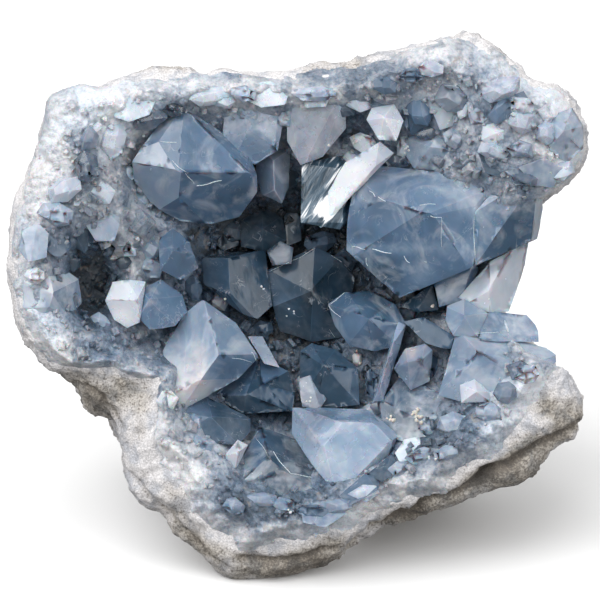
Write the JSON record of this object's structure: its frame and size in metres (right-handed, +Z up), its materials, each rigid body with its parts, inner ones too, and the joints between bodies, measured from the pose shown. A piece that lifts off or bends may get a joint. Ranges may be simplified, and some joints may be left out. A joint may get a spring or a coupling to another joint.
{
  "type": "celestite geode",
  "caption": "Lump of pale rock with a broad hollow lined with translucent blue celestite crystals, resting on a small flat spot.",
  "frame": {"origin": "middle of the bounding box, on the ground the geode rests on", "axes": "+X to the right as seen from the open front, +Y towards the rounded back, +Z up"},
  "size_m": [0.146, 0.1032, 0.1293],
  "materials": {
    "rock": "dull sugary limestone, pale grey and sandy brown, pitted and stained",
    "celestite": "translucent grey-blue crystal with flat glossy faces, milky veils and a sugary bed"
  },
  "bodies": {
    "root": {"rock_shell": "rock", "crystal_crust": "celestite"}
  },
  "joints": []
}
